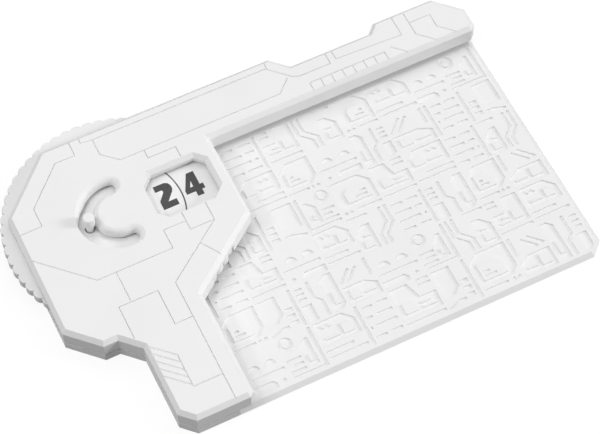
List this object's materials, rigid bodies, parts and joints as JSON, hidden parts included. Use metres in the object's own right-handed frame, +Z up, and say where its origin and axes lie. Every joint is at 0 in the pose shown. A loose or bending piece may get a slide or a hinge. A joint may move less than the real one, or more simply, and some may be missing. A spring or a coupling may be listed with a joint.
{
  "type": "damage counter pad",
  "caption": "Flat card pad with an edge housing that holds a dial counter: a bumped wheel at the rim, an inner disc turned by a finger peg, and a chamfered window.",
  "frame": {"origin": "on the axle of the dials, on the flat underside of the pad", "axes": "+Z up out of the pad, +X along the card's long side away from the dials, +Y towards the rail at the back"},
  "size_m": [0.1299, 0.0861, 0.0103],
  "materials": {
    "white_plastic": "fine matte moulded",
    "washer_plastic": "smooth natural",
    "spring_steel": "rolled bright",
    "zinc_steel": "zinc plated"
  },
  "bodies": {
    "housing": {"base_plate": "white_plastic", "top_cover": "white_plastic", "axle_pin": "spring_steel", "lower_washer": "washer_plastic", "middle_washer": "washer_plastic", "ones_click_spring": "spring_steel", "tens_brake_spring": "spring_steel", "closing_screw_1": "zinc_steel", "closing_screw_2": "zinc_steel", "closing_screw_3": "zinc_steel", "closing_screw_4": "zinc_steel", "closing_screw_5": "zinc_steel", "closing_screw_6": "zinc_steel"},
    "ones_wheel": {"ones_dial": "white_plastic"},
    "tens_disc": {"tens_dial": "white_plastic", "tens_peg": "white_plastic"}
  },
  "joints": [
    {"name": "ones_turn", "type": "hinge", "parent": "housing", "child": "ones_wheel", "pos_m": [0, 0, 0.0035], "axis": [0, 0, 1], "continuous": true},
    {"name": "tens_turn", "type": "hinge", "parent": "housing", "child": "tens_disc", "pos_m": [0, 0, 0.0044], "axis": [0, 0, 1], "range_deg": [-96, 96]}
  ]
}
